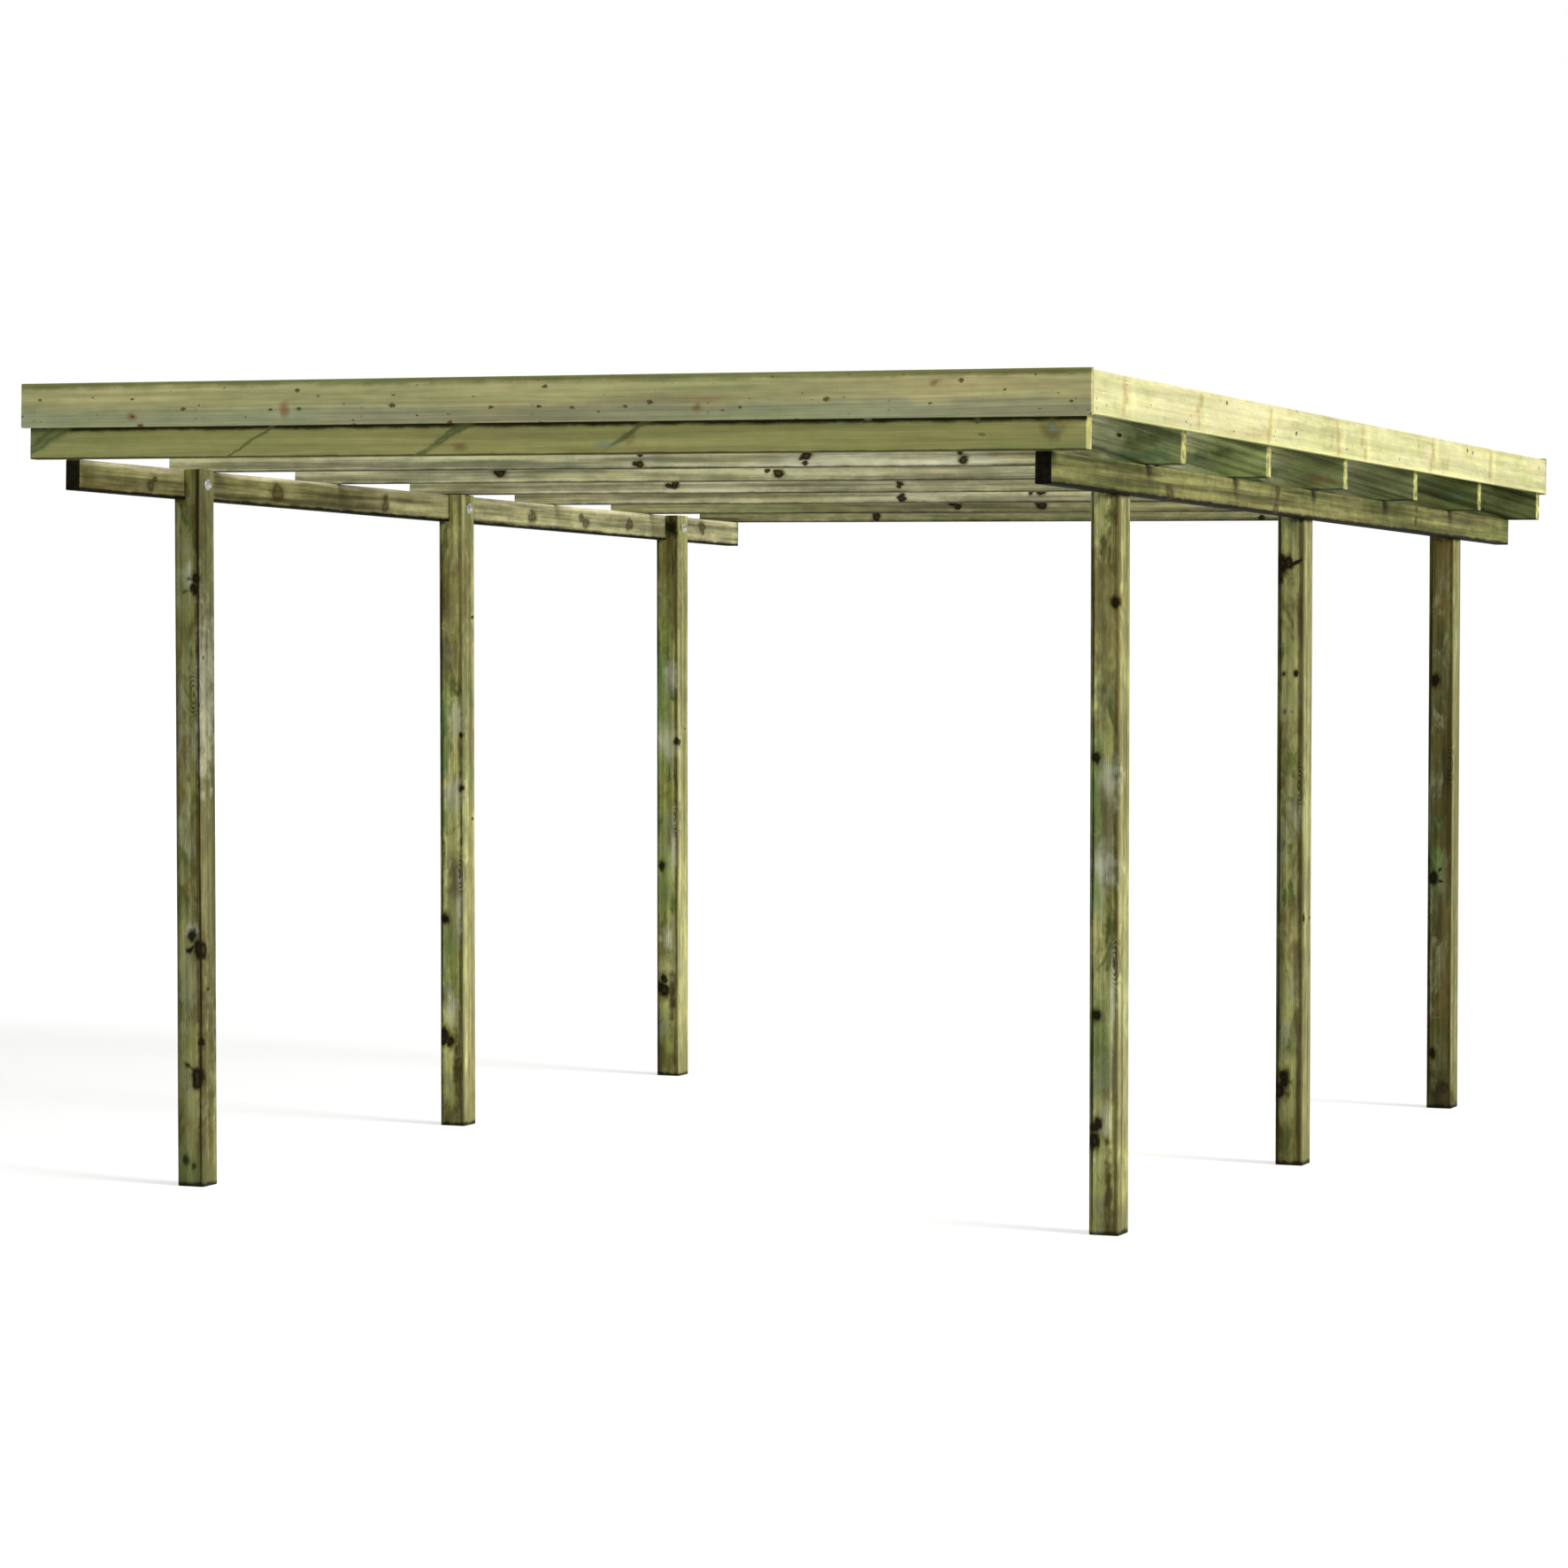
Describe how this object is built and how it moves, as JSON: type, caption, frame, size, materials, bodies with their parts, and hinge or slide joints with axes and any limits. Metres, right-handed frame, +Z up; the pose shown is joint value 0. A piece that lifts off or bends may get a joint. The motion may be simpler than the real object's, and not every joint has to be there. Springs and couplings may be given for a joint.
{
  "type": "carport",
  "caption": "Flat-roofed carport of pressure-treated softwood: an open post and beam frame with cross rafters, a board rim and corrugated roof sheets.",
  "frame": {"origin": "on the floor, at the middle of the roof's outline", "axes": "+X to the right as seen from the entrance, +Y to the back, which is the low end of the roof, +Z up"},
  "size_m": [3.3, 5.0016, 2.42],
  "materials": {
    "post_wood": "planed softwood, green pressure treated, matt",
    "beam_wood": "planed softwood, green pressure treated, matt",
    "rafter_wood": "planed softwood, green pressure treated, matt",
    "rim_wood": "planed softwood boards, green pressure treated, matt",
    "roof_sheet": "clear corrugated plastic sheet, slightly milky",
    "fixing_steel": "bright zinc-plated steel"
  },
  "bodies": {
    "root": {"post_front_left": "post_wood", "post_front_right": "post_wood", "post_middle_left": "post_wood", "post_middle_right": "post_wood", "post_back_left": "post_wood", "post_back_right": "post_wood", "beam_left": "beam_wood", "beam_right": "beam_wood", "rafter_1_front": "rafter_wood", "rafter_2": "rafter_wood", "rafter_3": "rafter_wood", "rafter_4": "rafter_wood", "rafter_5": "rafter_wood", "rafter_6": "rafter_wood", "rafter_7_back": "rafter_wood", "rim_front": "rim_wood", "rim_back": "rim_wood", "rim_left": "rim_wood", "rim_right": "rim_wood", "roof_sheet_left": "roof_sheet", "roof_sheet_middle": "roof_sheet", "roof_sheet_right": "roof_sheet"}
  },
  "joints": []
}
